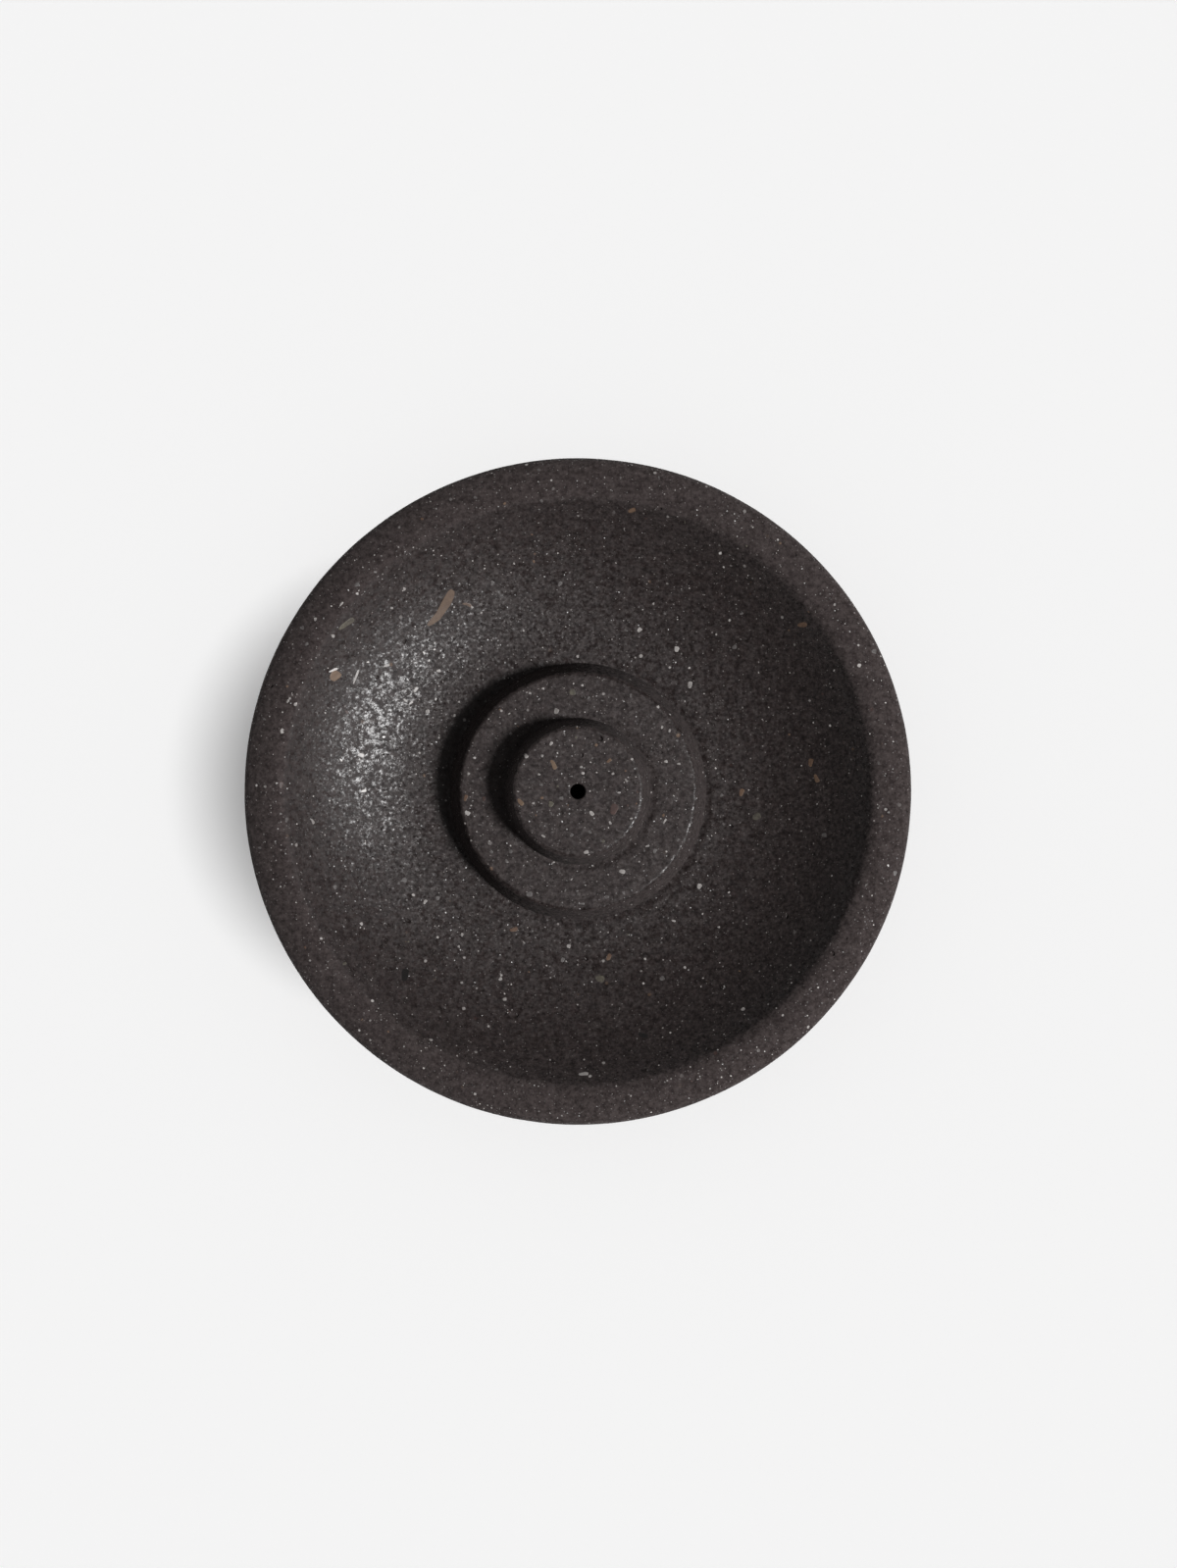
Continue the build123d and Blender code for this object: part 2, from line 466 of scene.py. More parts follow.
def top_place(section, x, y):
    """The highest place of a turned surface over (x, y), and its outward normal."""
    radius = math.hypot(x, y)
    bearing = math.atan2(y, x)
    found = []
    for start, end in zip(section, section[1:]):
        if min(start.x, end.x) <= radius < max(start.x, end.x):
            on = start.lerp(end, (radius - start.x) / (end.x - start.x))
            found.append((on.y, on, side_normal(start, end)))
    height, on, normal = max(found, key=lambda item: item[0])
    return on_turn(on, bearing), on_turn(normal, bearing)


def random_places(rng, section, count, taken, apart):
    """Seeded places on a turned surface, even by area and clear of those taken, with outward normals."""
    weights = [(a.x + b.x) * (b - a).length for a, b in zip(section, section[1:])]
    places = []
    while len(places) < count:
        index = rng.choices(range(len(weights)), weights)[0]
        bearing = rng.uniform(0, math.tau)
        place = on_turn(section[index], bearing)
        if all((place - other).length > apart for other in taken):
            taken.append(place)
            places.append((place, on_turn(side_normal(*section[index : index + 2]), bearing)))
    return places


PIT_SMALLEST = 0.12
PIT_LARGEST = 0.42
PIT_APART = 1.0
PIT_PROUD = 0.15  # share of its radius by which a pit's centre stands above the surface
PIT_STRETCH = 1.7
PIT_BUMP = 0.25
PIT_BUMPS = 1.3  # bumps in one radius


def pit_cutter(name, rng, pits, shape):
    """One mesh of uneven round lumps that cut air holes, for pits of (place, normal, radius)."""
    lumps = bmesh.new()
    for place, normal, radius in pits:
        centre = place + normal * (unevenness(place, shape) + PIT_PROUD * radius)
        made = bmesh.ops.create_icosphere(lumps, subdivisions=2, radius=radius)
        stretch = rng.uniform(1.0, PIT_STRETCH)
        turn = Matrix.Rotation(rng.uniform(0, math.pi), 3, "Z")
        for vertex in made["verts"]:
            bumpy = 1 + PIT_BUMP * noise.noise(vertex.co / radius * PIT_BUMPS + centre)
            lump = Vector((vertex.co.x * stretch, vertex.co.y, vertex.co.z)) * bumpy
            vertex.co = (centre + turn @ lump) * MM
    return loose_piece(name, lumps)


def random_pits(rng, section, count, taken):
    """Seeded air holes on a turned surface, most of them small."""
    pits = []
    for place, normal in random_places(rng, section, count, taken, PIT_APART):
        pits.append((place, normal, PIT_SMALLEST + (PIT_LARGEST - PIT_SMALLEST) * rng.random() ** 3))
    return pits


# Chips that the photograph shows: place across and up from the axis, length, width and bend in
# millimetres, heading in degrees from +X, and stone.
# Spar chips are white stone laid mostly in the key lamp's reflection, where their white also paints glints.
CHIPS = {
    "dish": (
        (-24.95, 33.3, 8.0, 1.5, -0.6, 55, "shell"),
        (-20.1, 33.75, 1.9, 0.45, 0.3, -20, "shell"),
        (-19.3, 33.5, 0.6, 0.35, 0, -45, "quartz"),
        (-43.8, 20.85, 2.0, 1.6, 0, 62, "horn"),
        (-44.05, 21.85, 1.7, 0.35, 0, 25, "spar"),
        (-40.1, 20.7, 2.8, 0.34, 0.05, 69, "quartz"),
        (-41.6, 30.1, 3.4, 0.75, 0, 38, "olive"),
        (-42.4, 33.6, 1.0, 0.3, 0, 53, "quartz"),
        (-34.7, 22.7, 1.2, 0.35, 0.15, 15, "quartz"),
        (-29.5, 18.5, 1.1, 0.55, 0, 55, "quartz"),
        (-31.4, 16.6, 0.9, 0.42, 0, -35, "quartz"),
        (-30.4, 16.1, 0.9, 0.42, 0, 40, "quartz"),
        (-27.4, 14.6, 0.75, 0.7, 0, 0, "quartz"),
        (-39.6, 37.1, 0.9, 0.8, 0, 20, "cloudy"),
        (-53.2, 1.2, 1.2, 0.7, 0, 80, "brick"),
        (40.4, 30.0, 1.7, 0.8, 0, 4, "umber"),
        (42.2, 5.2, 1.5, 0.8, 0, 80, "umber"),
        (43.2, 2.4, 1.6, 0.75, 0, -68, "umber"),
        (9.7, 50.5, 1.4, 0.7, 0, 20, "umber"),
        (-11.7, -25.2, 1.5, 0.7, 0, 10, "umber"),
        (5.6, -30.2, 1.3, 0.8, 0, 60, "umber"),
        (29.8, -0.2, 1.4, 0.8, 0, 75, "umber"),
        (1.0, -50.8, 1.8, 0.55, 0, 5, "quartz"),
        (32.5, -4.6, 1.6, 1.1, 0, 30, "olive"),
        (4.0, -34.1, 1.7, 1.1, 0, -20, "olive"),
        (20.4, 19.4, 1.3, 0.7, 0, 80, "quartz"),
        (22.1, -17.3, 1.0, 0.75, 0, 70, "quartz"),
        (-28.0, 25.2, 0.55, 0.3, 0, -50, "spar"),
        (-26.1, 25.8, 0.45, 0.3, 0, 20, "spar"),
        (-27.1, 23.8, 0.45, 0.28, 0, 70, "spar"),
        (-38.0, 23.4, 0.5, 0.28, 0, 10, "spar"),
        (-25.9, 16.8, 0.5, 0.3, 0, 80, "spar"),
        (-22.5, 13.8, 0.55, 0.4, 0, 75, "quartz"),
        (-39.6, 35.5, 0.5, 0.45, 0, 0, "quartz"),
        (-31.3, 36.5, 0.6, 0.45, 0, 75, "quartz"),
        (-33.6, 33.1, 0.55, 0.4, 0, 0, "quartz"),
        (-43.9, 27.9, 0.6, 0.5, 0, 80, "quartz"),
        (-47.1, 30.9, 0.65, 0.5, 0, 80, "quartz"),
        (-18.3, 29.2, 0.6, 0.5, 0, 0, "cloudy"),
        (11.2, 29.4, 0.9, 0.7, 0, 50, "quartz"),
        (18.0, 25.9, 1.0, 0.8, 0, 80, "quartz"),
        (28.4, 26.2, 0.9, 0.7, 0, 20, "cloudy"),
        (25.6, 42.9, 0.5, 0.45, 0, 0, "spar"),
        (-3.3, 37.7, 1.0, 0.6, 0, 60, "cloudy"),
        (-15.5, 37.7, 0.9, 0.5, 0, 60, "cloudy"),
        (44.5, -7.9, 0.9, 0.7, 0, 0, "cloudy"),
        (15.3, -34.0, 0.9, 0.8, 0, 30, "cloudy"),
        (19.4, -32.0, 0.5, 0.45, 0, 0, "quartz"),
        (-31.6, -16.1, 0.9, 0.8, 0, 0, "cloudy"),
        (53.2, 25.2, 0.9, 0.7, 0, 0, "cloudy"),
        (57.0, -14.7, 0.9, 0.6, 0, 80, "cloudy"),
        (-49.5, 29.4, 0.8, 0.6, 0, 0, "cloudy"),
        (-17.7, 34.0, 0.6, 0.5, 0, 0, "cloudy"),
        (-27.8, -20.1, 0.9, 0.5, 0, 60, "quartz"),
        (-1.7, -28.2, 0.7, 0.65, 0, 0, "quartz"),
        (17.4, -23.6, 0.8, 0.35, 0, -20, "quartz"),
        (25.6, -24.7, 0.5, 0.35, 0, 0, "quartz"),
        (12.2, -30.5, 0.45, 0.4, 0, 0, "quartz"),
        (-13.3, -37.7, 0.7, 0.6, 0, 0, "quartz"),
        (-14.1, -34.1, 0.7, 0.5, 0, 30, "quartz"),
        (-21.1, -34.7, 0.5, 0.4, 0, 0, "quartz"),
        (-25.5, -26.5, 0.45, 0.4, 0, 0, "quartz"),
        (-21.7, -28.2, 0.45, 0.4, 0, 0, "quartz"),
        (-9.9, -27.5, 0.6, 0.3, 0, -50, "quartz"),
        (-26.4, -44.6, 0.7, 0.35, 0, -20, "quartz"),
        (-2.8, -30.7, 0.9, 0.6, 0, 70, "cloudy"),
        (-52.0, 16.2, 0.7, 0.4, 0, 60, "quartz"),
        (-53.1, 11.0, 0.7, 0.4, 0, 50, "quartz"),
        (-56.1, 0.9, 0.5, 0.45, 0, 0, "quartz"),
        (-47.9, -5.4, 1.1, 0.4, 0.1, -60, "quartz"),
        (-52.2, -5.1, 0.9, 0.5, 0, 70, "cloudy"),
        (-42.9, 5.7, 0.6, 0.3, 0, -50, "spar"),
        (-39.4, 6.6, 1.2, 0.8, 0, -10, "quartz"),
        (-35.3, 9.9, 0.5, 0.35, 0, 0, "spar"),
        (-38.9, 0.1, 1.0, 0.5, 0, 20, "spar"),
        (-57.1, -10.1, 0.6, 0.4, 0, 0, "cloudy"),
        (-31.3, -33.2, 2.2, 1.3, 0, 80, "basalt"),
        (11.8, -44.1, 1.8, 0.8, 0, -15, "basalt"),
    ),
    "lower_tier": (
        (-20.3, -1.2, 1.2, 0.6, 0, 75, "umber"),
        (-3.9, 14.5, 1.0, 0.8, 0, 60, "quartz"),
        (-1.0, 17.9, 1.1, 1.0, 0, 10, "olive"),
        (8.0, -14.5, 1.1, 0.75, 0, -15, "quartz"),
        (-20.0, -3.9, 1.0, 0.75, 0, -40, "quartz"),
        (15.7, -5.4, 1.1, 0.3, 0, 60, "quartz"),
        (15.9, 5.4, 0.6, 0.5, 0, 0, "quartz"),
        (14.5, 15.3, 0.5, 0.45, 0, 0, "quartz"),
        (-8.7, 17.8, 0.45, 0.4, 0, 0, "quartz"),
        (-18.7, 6.1, 0.5, 0.4, 0, 0, "quartz"),
        (-19.8, 3.2, 0.5, 0.4, 0, 60, "quartz"),
        (15.2, 11.6, 0.6, 0.4, 0, 70, "quartz"),
        (16.6, 11.0, 0.6, 0.4, 0, 60, "quartz"),
        (14.9, 8.3, 0.5, 0.4, 0, 0, "cloudy"),
        (18.2, 5.0, 0.6, 0.4, 0, 0, "quartz"),
        (17.9, 9.2, 0.5, 0.4, 0, 0, "cloudy"),
        (13.9, -10.8, 0.9, 0.5, 0, 70, "cloudy"),
        (0.8, 19.2, 0.45, 0.4, 0, 0, "quartz"),
        (-6.3, 18.6, 0.45, 0.4, 0, 0, "quartz"),
        (-8.8, -18.6, 1.1, 0.9, 0, 0, "cloudy"),
        (0.8, -20.3, 0.8, 0.4, 0, 0, "cloudy"),
    ),
    "stick_holder": (
        (-4.4, 4.8, 1.9, 0.75, 0.1, -62, "horn"),
        (5.6, 5.5, 1.0, 0.5, 0, 35, "horn"),
        (-10.3, -1.9, 1.5, 0.7, 0, -50, "horn"),
        (6.5, -3.2, 2.0, 1.3, 0, 70, "brick"),
        (-4.8, -2.3, 1.0, 0.9, 0, 60, "olive"),
        (2.5, -3.9, 1.0, 0.6, 0, -50, "quartz"),
        (1.5, -10.9, 0.9, 0.6, 0, 10, "quartz"),
        (-9.3, 6.4, 0.9, 0.6, 0, -60, "quartz"),
        (0.6, 4.4, 0.5, 0.4, 0, 0, "quartz"),
        (0.9, 3.3, 0.55, 0.45, 0, 0, "quartz"),
        (-6.4, 6.4, 0.5, 0.4, 0, 70, "quartz"),
        (-4.8, 8.6, 0.8, 0.5, 0, 60, "quartz"),
        (6.3, 3.2, 0.5, 0.4, 0, 30, "quartz"),
        (9.7, 5.8, 0.5, 0.4, 0, 0, "quartz"),
        (8.7, 2.0, 0.7, 0.4, 0, -60, "quartz"),
        (5.8, -5.6, 0.6, 0.4, 0, -60, "quartz"),
        (-6.2, -8.0, 0.8, 0.35, 0, -30, "quartz"),
        (7.4, -0.2, 0.6, 0.3, 0, 0, "quartz"),
        (-6.6, 1.2, 0.6, 0.4, 0, 0, "cloudy"),
        (-8.0, -2.1, 0.5, 0.4, 0, 0, "quartz"),
        (-3.0, -1.2, 0.8, 0.6, 0, 0, "cloudy"),
    ),
}
# Deep air holes that the photograph shows in the bowl: place across and up, and radius.
DEEP_PITS = ((-36.4, 20.7, 0.35), (-49.5, 10.3, 0.3))
SEEDS = {"dish": 11, "lower_tier": 21, "stick_holder": 22}
CHIP_STONES = ("quartz", "cloudy", "umber", "brick", "olive", "shell", "horn", "spar", "basalt")
CHIP_SHARES = (22, 58, 8, 6, 6, 0, 0, 0, 0)
CHIP_SMALLEST = 0.35
CHIP_LARGEST = 0.8
CHIP_SLIMMEST = 0.4  # width of a loose chip as a share of its length
CHIP_STOUTEST = 0.9
CHIP_APART = 1.5
CHIP_CORNERS = 12
CHIP_BLUNT = 0.65
CHIP_TAPER = 0.25
CHIP_RAGGED = 0.18
CHIP_PROUD = 0.02
CHIP_FACE = 0.8  # share of a chip's outline inside its rubbed edge
CHIP_DEPTH = 0.35


def chip_zone(node):
    """Smallest and largest radius at which loose chips lie in a piece's top, clear of its edges."""
    upper_seat = outer_radius("stick_holder") + SEAT_GAP + UPPER_SEAT_BEVEL
    return {
        "dish": (floor_edge().x + CHIP_LARGEST, outer_radius("dish") - 2 * CHIP_LARGEST),
        "lower_tier": (upper_seat + CHIP_LARGEST, top_edge("lower_tier") - CHIP_LARGEST),
        "stick_holder": (2 * CHIP_LARGEST, top_edge("stick_holder") - CHIP_LARGEST),
    }[node]


def chip_places(section, chips):
    """Places of chips on a turned surface."""
    return [top_place(section, chip[0], chip[1])[0] for chip in chips]


def all_chips(node, section, shape):
    """The chips that the photograph shows in a piece, then seeded small ones on its top."""
    rng = random.Random(SEEDS[node])
    count = shape.dish_chips if node == "dish" else shape.tier_chips
    chips = list(CHIPS[node])
    taken = chip_places(section, chips)
    widest = max(range(len(section)), key=lambda index: section[index].x)
    inner, outer = chip_zone(node)
    top = [point for point in section[widest:] if inner < point.x < outer]
    for place, normal in random_places(rng, top, count, taken, CHIP_APART):
        long = CHIP_SMALLEST + (CHIP_LARGEST - CHIP_SMALLEST) * rng.random() ** 2
        wide = long * rng.uniform(CHIP_SLIMMEST, CHIP_STOUTEST)
        stone = rng.choices(CHIP_STONES, CHIP_SHARES)[0]
        chips.append((place.x, place.y, long, wide, 0, rng.uniform(0, 180), stone))
    return chips


def blunt(share):
    """A sine or cosine pushed outwards, so that an oval drawn with it turns boxy."""
    return math.copysign(abs(share) ** CHIP_BLUNT, share)


def chip_outline(rng, chip):
    """Ragged blunt outline of a chip seen from above, narrower towards its back end."""
    x, y, long, wide, bend, heading, stone = chip
    turn = Matrix.Rotation(math.radians(heading), 2)
    outline = []
    for step in range(CHIP_CORNERS):
        angle = math.tau * (step + 0.5) / CHIP_CORNERS
        ragged = 1 + rng.uniform(-CHIP_RAGGED, CHIP_RAGGED)
        along = blunt(math.cos(angle))
        across = blunt(math.sin(angle)) * (1 + CHIP_TAPER * along) * ragged
        bow = bend * (1 - along**2)
        outline.append(turn @ Vector((along * long / 2, across * wide / 2 + bow)))
    return outline


def lay_chips(node, section, chips, shape, stones):
    """One object of closed flakes, each laid into a piece's top so that it follows the surface."""
    rng = random.Random(len(chips))
    vertices = []
    faces = []
    stone_of = []
    for chip in chips:
        outline = chip_outline(rng, chip)
        layers = ((0, -CHIP_DEPTH), (1, -CHIP_DEPTH), (1, 0), (CHIP_FACE, CHIP_PROUD), (0, CHIP_PROUD))
        rings = []
        for share, depth in layers:
            corners = outline if share else [Vector((0, 0))]
            rings.append([])
            for corner in corners:
                rest, out = top_place(section, chip[0] + corner.x * share, chip[1] + corner.y * share)
                rings[-1].append(len(vertices))
                vertices.append((rest + out * (unevenness(rest, shape) + depth)) * MM)
            rings[-1] *= CHIP_CORNERS // len(corners)
        flake = skin(rings)
        faces += flake
        stone_of += [CHIP_STONES.index(chip[-1])] * len(flake)
    piece = new_piece(f"{node}_chips", vertices, faces)
    for stone in CHIP_STONES:
        piece.data.materials.append(stones[stone])
    piece.data.polygons.foreach_set("material_index", stone_of)
    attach(piece, node)


def cut(piece, cutter):
    """Cuts a closed mesh out of a piece and throws the cutter away."""
    bpy.context.scene.collection.objects.link(cutter)
    boolean = piece.modifiers.new("cut", "BOOLEAN")
    boolean.operation = "DIFFERENCE"
    boolean.solver = "MANIFOLD"
    boolean.object = cutter
    evaluated = piece.evaluated_get(bpy.context.evaluated_depsgraph_get())
    mesh = bpy.data.meshes.new_from_object(evaluated)
    piece.modifiers.clear()
    spent = piece.data
    piece.data = mesh
    mesh.name = spent.name
    bpy.data.meshes.remove(spent)
    bpy.data.objects.remove(cutter)
    if not mesh.polygons:
        raise RuntimeError(f"cutting {piece.name} left nothing")


CREASE = math.radians(38)


def shade(piece, material):
    """Smooth shading with crisp creases, and the material."""
    mesh = piece.data
    mesh.shade_smooth()
    mesh.set_sharp_from_angle(angle=CREASE)
    mesh.materials.clear()
    mesh.materials.append(material)


def set_polish(piece, polish):
    """Keeps how polished each vertex is, from 0 to 1, for the material."""
    attribute = piece.data.attributes.new("polish", "FLOAT", "POINT")
    attribute.data.foreach_set("value", [polish(vertex) for vertex in piece.data.vertices])


def ramp(value, start, end):
    """A smooth share from 0 at start to 1 at end."""
    share = min(1, max(0, (value - start) / (end - start)))
    return share * share * (3 - 2 * share)


# How far a tier's surface faces up, from 0 on a wall to 1 on a level top, where its polish changes.
RUBBED_FROM, RUBBED_TO = 0.45, 0.75
LEVEL_FROM, LEVEL_TO = 0.96, 0.99
TIER_TOP_POLISH = 0.5


def tier_polish(vertex):
    """A tier's polish: half on the level top, full where the edge is rubbed round, none on the wall."""
    up = vertex.normal.z
    return ramp(up, RUBBED_FROM, RUBBED_TO) * (1 - (1 - TIER_TOP_POLISH) * ramp(up, LEVEL_FROM, LEVEL_TO))


def per_metre(millimetres):
    """Scale of a pattern whose cells are so wide."""
    return 1 / (millimetres * MM)


def add(tree, kind, inputs=None, **settings):
    """Adds a node with its settings, and links or sets its inputs."""
    node = tree.nodes.new(kind)
    for name, value in settings.items():
        setattr(node, name, value)
    for socket, value in (inputs or {}).items():
        if isinstance(value, bpy.types.NodeSocket):
            tree.links.new(value, node.inputs[socket])
        else:
            node.inputs[socket].default_value = value
    return node


def new_material(name):
    """An empty node material and its tree."""
    material = bpy.data.materials.get(name)
    if material is None:
        material = bpy.data.materials.new(name)
    material.use_nodes = True
    material.node_tree.nodes.clear()
    return material, material.node_tree


MIX_FACTOR, MIX_A, MIX_B, MIX_RESULT = 0, 6, 7, 2


def blend(tree, share, first, second):
    """A colour between two others."""
    inputs = {MIX_FACTOR: share, MIX_A: first, MIX_B: second}
    return add(tree, "ShaderNodeMix", inputs, data_type="RGBA").outputs[MIX_RESULT]


def remap(tree, value, start=0, end=1, low=0, high=1, **settings):
    """A value carried over from the range start to end into the range low to high, and kept in it."""
    inputs = {"Value": value, "From Min": start, "From Max": end, "To Min": low, "To Max": high}
    return add(tree, "ShaderNodeMapRange", inputs, **settings).outputs["Result"]


def clouds(tree, place, width, detail, roughness=0.5):
    """Noise whose lumps are so wide, in millimetres."""
    inputs = {"Vector": place, "Scale": per_metre(width), "Detail": detail, "Roughness": roughness}
    return add(tree, "ShaderNodeTexNoise", inputs).outputs


def cells(tree, place, width):
    """Voronoi cells that are so wide, in millimetres."""
    return add(tree, "ShaderNodeTexVoronoi", {"Vector": place, "Scale": per_metre(width)}).outputs


def number(tree, operation, *values):
    """The result of an operation on numbers."""
    return add(tree, "ShaderNodeMath", dict(enumerate(values)), operation=operation).outputs[0]


def vector(tree, operation, *values):
    """The result of an operation on vectors."""
    return add(tree, "ShaderNodeVectorMath", dict(enumerate(values)), operation=operation).outputs[0]


def relief(tree, height, strength, millimetres):
    """The normal of a surface with bumps so high."""
    inputs = {"Height": height, "Strength": strength, "Distance": millimetres * MM}
    return add(tree, "ShaderNodeBump", inputs).outputs[0]


def coat(tree, inputs):
    """The surface that ends a material's tree."""
    surface = add(tree, "ShaderNodeBsdfPrincipled", inputs)
    add(tree, "ShaderNodeOutputMaterial", {"Surface": surface.outputs[0]})


# Widths in the terrazzo are in millimetres.
BINDER_WIDTH = 1.2
BINDER_DENSE, BINDER_THIN = 0.38, 0.62  # noise levels between which the cement goes from dark to light
WOBBLE_WIDTH = 0.4
WOBBLE = 0.22  # how far a grain's outline strays
GRAIN_EDGE = 0.75  # share of its radius at which a grain shows fully
GLOSS_WIDTH = 1.3
GLOSS_DULL, GLOSS_SEALED = 0.45, 0.56  # noise levels between which dull turns into sealed
LEAN_WIDTH = 0.6
LEAN = 0.36
SPARK_WIDTH = 0.45
SPARK_SHARE = 0.36
SPARK_REACH = 0.3
SPARK_SOFTNESS = 0.2
SPARK_LEAN = 0.45
ROUGH_SANDED = 0.95
ROUGH_DULL = 0.7
ROUGH_SEALED = 0.32
ROUGH_SPARK = 0.33
POLISHED_GAMMA = 1.11
SPECULAR = 0.43


def terrazzo(finish):
    """Cast terrazzo, ground and sealed: dark tinted cement full of sand and small stone.

    The sealed surface is glossy in patches, so a lamp's reflection is grainy and a few grains flash. The
    sanded rim is dull.
    """
    material, tree = new_material("ground_cast_terrazzo")
    place = add(tree, "ShaderNodeTexCoord").outputs["Object"]
    wobble = clouds(tree, place, WOBBLE_WIDTH, detail=1)["Color"]
    warped = vector(tree, "MULTIPLY_ADD", wobble, (WOBBLE * MM,) * 3, place)
    binder = clouds(tree, place, BINDER_WIDTH, detail=6, roughness=0.85)["Fac"]
    thin = remap(tree, binder, BINDER_DENSE, BINDER_THIN)
    tone = blend(tree, thin, finish.binder_dark, finish.binder_light)

    # Sieve sizes of the aggregate: cell width, share of cells that hold a grain, smallest and largest
    # grain radius, with lengths in millimetres, then the grains' colour and how strongly it shows.
    sieve = (
        (0.45, 0.50, 0.06, 0.13, finish.sand, 1.0),
        (0.80, 0.25, 0.08, 0.18, finish.basalt, 0.5),
        (0.70, 0.22, 0.07, 0.17, finish.quartz, 1.0),
        (1.20, 0.20, 0.10, 0.25, finish.quartz, 0.9),
        (2.30, 0.25, 0.16, 0.42, finish.quartz, 0.75),
        (2.60, 0.14, 0.20, 0.45, finish.umber, 0.7),
        (3.10, 0.12, 0.20, 0.50, finish.brick, 0.5),
    )
    for cell, share, smallest, largest, stone, strength in sieve:
        grains = cells(tree, warped, cell)
        drawn = add(tree, "ShaderNodeSeparateColor", {0: grains["Color"]}).outputs
        radius = remap(tree, drawn["Green"], low=smallest / cell, high=largest / cell)
        inside = number(tree, "DIVIDE", grains["Distance"], radius)
        solid = remap(tree, inside, 1, GRAIN_EDGE, high=strength)
        chosen = remap(tree, drawn["Red"], share, 0)
        shows = number(tree, "MULTIPLY", solid, number(tree, "POWER", chosen, 2))
        tone = blend(tree, shows, tone, stone)

    # The tone's gamma grows with polish: polished places, chiefly the bowl, are darker than sanded ones.
    polish = add(tree, "ShaderNodeAttribute", attribute_name="polish").outputs["Fac"]
    deep = remap(tree, polish, low=1, high=POLISHED_GAMMA)
    tone = add(tree, "ShaderNodeGamma", {"Color": tone, "Gamma": deep}).outputs[0]

    # Gloss: patches of sealer over grains that lean a little each way, and a few smooth ones that lean far.
    patches = clouds(tree, place, GLOSS_WIDTH, detail=4, roughness=0.8)["Fac"]
    sealed = remap(tree, patches, GLOSS_DULL, GLOSS_SEALED, ROUGH_DULL, ROUGH_SEALED)
    sparks = cells(tree, warped, SPARK_WIDTH)
    drawn = add(tree, "ShaderNodeTexWhiteNoise", {"Vector": sparks["Position"]}).outputs["Value"]
    chosen = number(tree, "LESS_THAN", drawn, SPARK_SHARE)
    outer = (1 + SPARK_SOFTNESS) * SPARK_REACH
    inner = (1 - SPARK_SOFTNESS) * SPARK_REACH
    spark = remap(tree, sparks["Distance"], outer, inner, high=chosen)
    ground = remap(tree, polish, low=ROUGH_SANDED, high=sealed)
    rough = remap(tree, spark, low=ground, high=ROUGH_SPARK)
    tilts = clouds(tree, place, LEAN_WIDTH, detail=2)["Color"]
    lean = vector(tree, "MULTIPLY_ADD", tilts, (2 * LEAN,) * 3, (-LEAN,) * 3)
    far = remap(tree, spark, high=2 * SPARK_LEAN)
    centred = vector(tree, "SUBTRACT", sparks["Color"], (0.5,) * 3)
    flash = vector(tree, "MULTIPLY_ADD", centred, far, lean)
    normal = add(tree, "ShaderNodeNewGeometry").outputs["Normal"]
    leaning = vector(tree, "NORMALIZE", vector(tree, "ADD", normal, flash))
    inputs = {"Base Color": tone, "Roughness": rough, "Specular IOR Level": SPECULAR}
    coat(tree, inputs | {"Normal": leaning})
    return material


BAND_WIDTH = 0.8
BAND_DARK, BAND_LIGHT = 0.35, 0.65  # noise levels between which a band goes from dark to light
BAND_SHARE = 0.5  # of a chip's tone, and the rest goes from chip to chip
BAND_BUMP = 0.3
BAND_RELIEF = 0.05
CLEAR_WIDTH = 0.5
CLEAR_FROM, CLEAR_TO = 0.4, 0.6  # noise levels between which a chip turns clear


def chip_stone(name, light, dark, roughness, cement, clear):
    """Ground stone or shell chips, darker or lighter from chip to chip, with faint bands.

    The cement below shows through, in places by the whole share clear and elsewhere by half of it.
    """
    material, tree = new_material(name)
    place = add(tree, "ShaderNodeTexCoord").outputs["Object"]
    bands = clouds(tree, place, BAND_WIDTH, detail=3)["Fac"]
    faint = remap(tree, bands, BAND_DARK, BAND_LIGHT, high=BAND_SHARE)
    own = add(tree, "ShaderNodeNewGeometry").outputs["Random Per Island"]
    share = number(tree, "MULTIPLY_ADD", own, 1 - BAND_SHARE, faint)
    tone = blend(tree, share, dark, light)
    depths = clouds(tree, place, CLEAR_WIDTH, detail=3)["Fac"]
    through = remap(tree, depths, CLEAR_FROM, CLEAR_TO, clear / 2, clear)
    tone = blend(tree, through, tone, cement)
    normal = relief(tree, bands, BAND_BUMP, BAND_RELIEF)
    coat(tree, {"Base Color": tone, "Roughness": roughness, "Normal": normal})
    return material


PEEL_WIDTH = 0.5
PEEL_BUMP = 0.4
PEEL_RELIEF = 0.03
DUST_WIDTH = 3.0
ROUGH_RUBBER = 0.55
ROUGH_DUST = 0.85


def moulded_rubber(finish):
    """Moulded rubber: black, dull, with the fine orange peel of the mould and a little dust."""
    material, tree = new_material("moulded_rubber")
    place = add(tree, "ShaderNodeTexCoord").outputs["Object"]
    peel = clouds(tree, place, PEEL_WIDTH, detail=2)["Fac"]
    dust = clouds(tree, place, DUST_WIDTH, detail=5)["Fac"]
    tone = blend(tree, dust, finish.rubber, linear("#2E2C2B"))
    rough = remap(tree, dust, low=ROUGH_RUBBER, high=ROUGH_DUST)
    normal = relief(tree, peel, PEEL_BUMP, PEEL_RELIEF)
    coat(tree, {"Base Color": tone, "Roughness": rough, "Normal": normal})
    return material


def black_card():
    """Black card: dull and dark, seen only by its shadow."""
    material, tree = new_material("black_card")
    coat(tree, {"Base Color": linear("#161616"), "Roughness": 0.9})
    return material


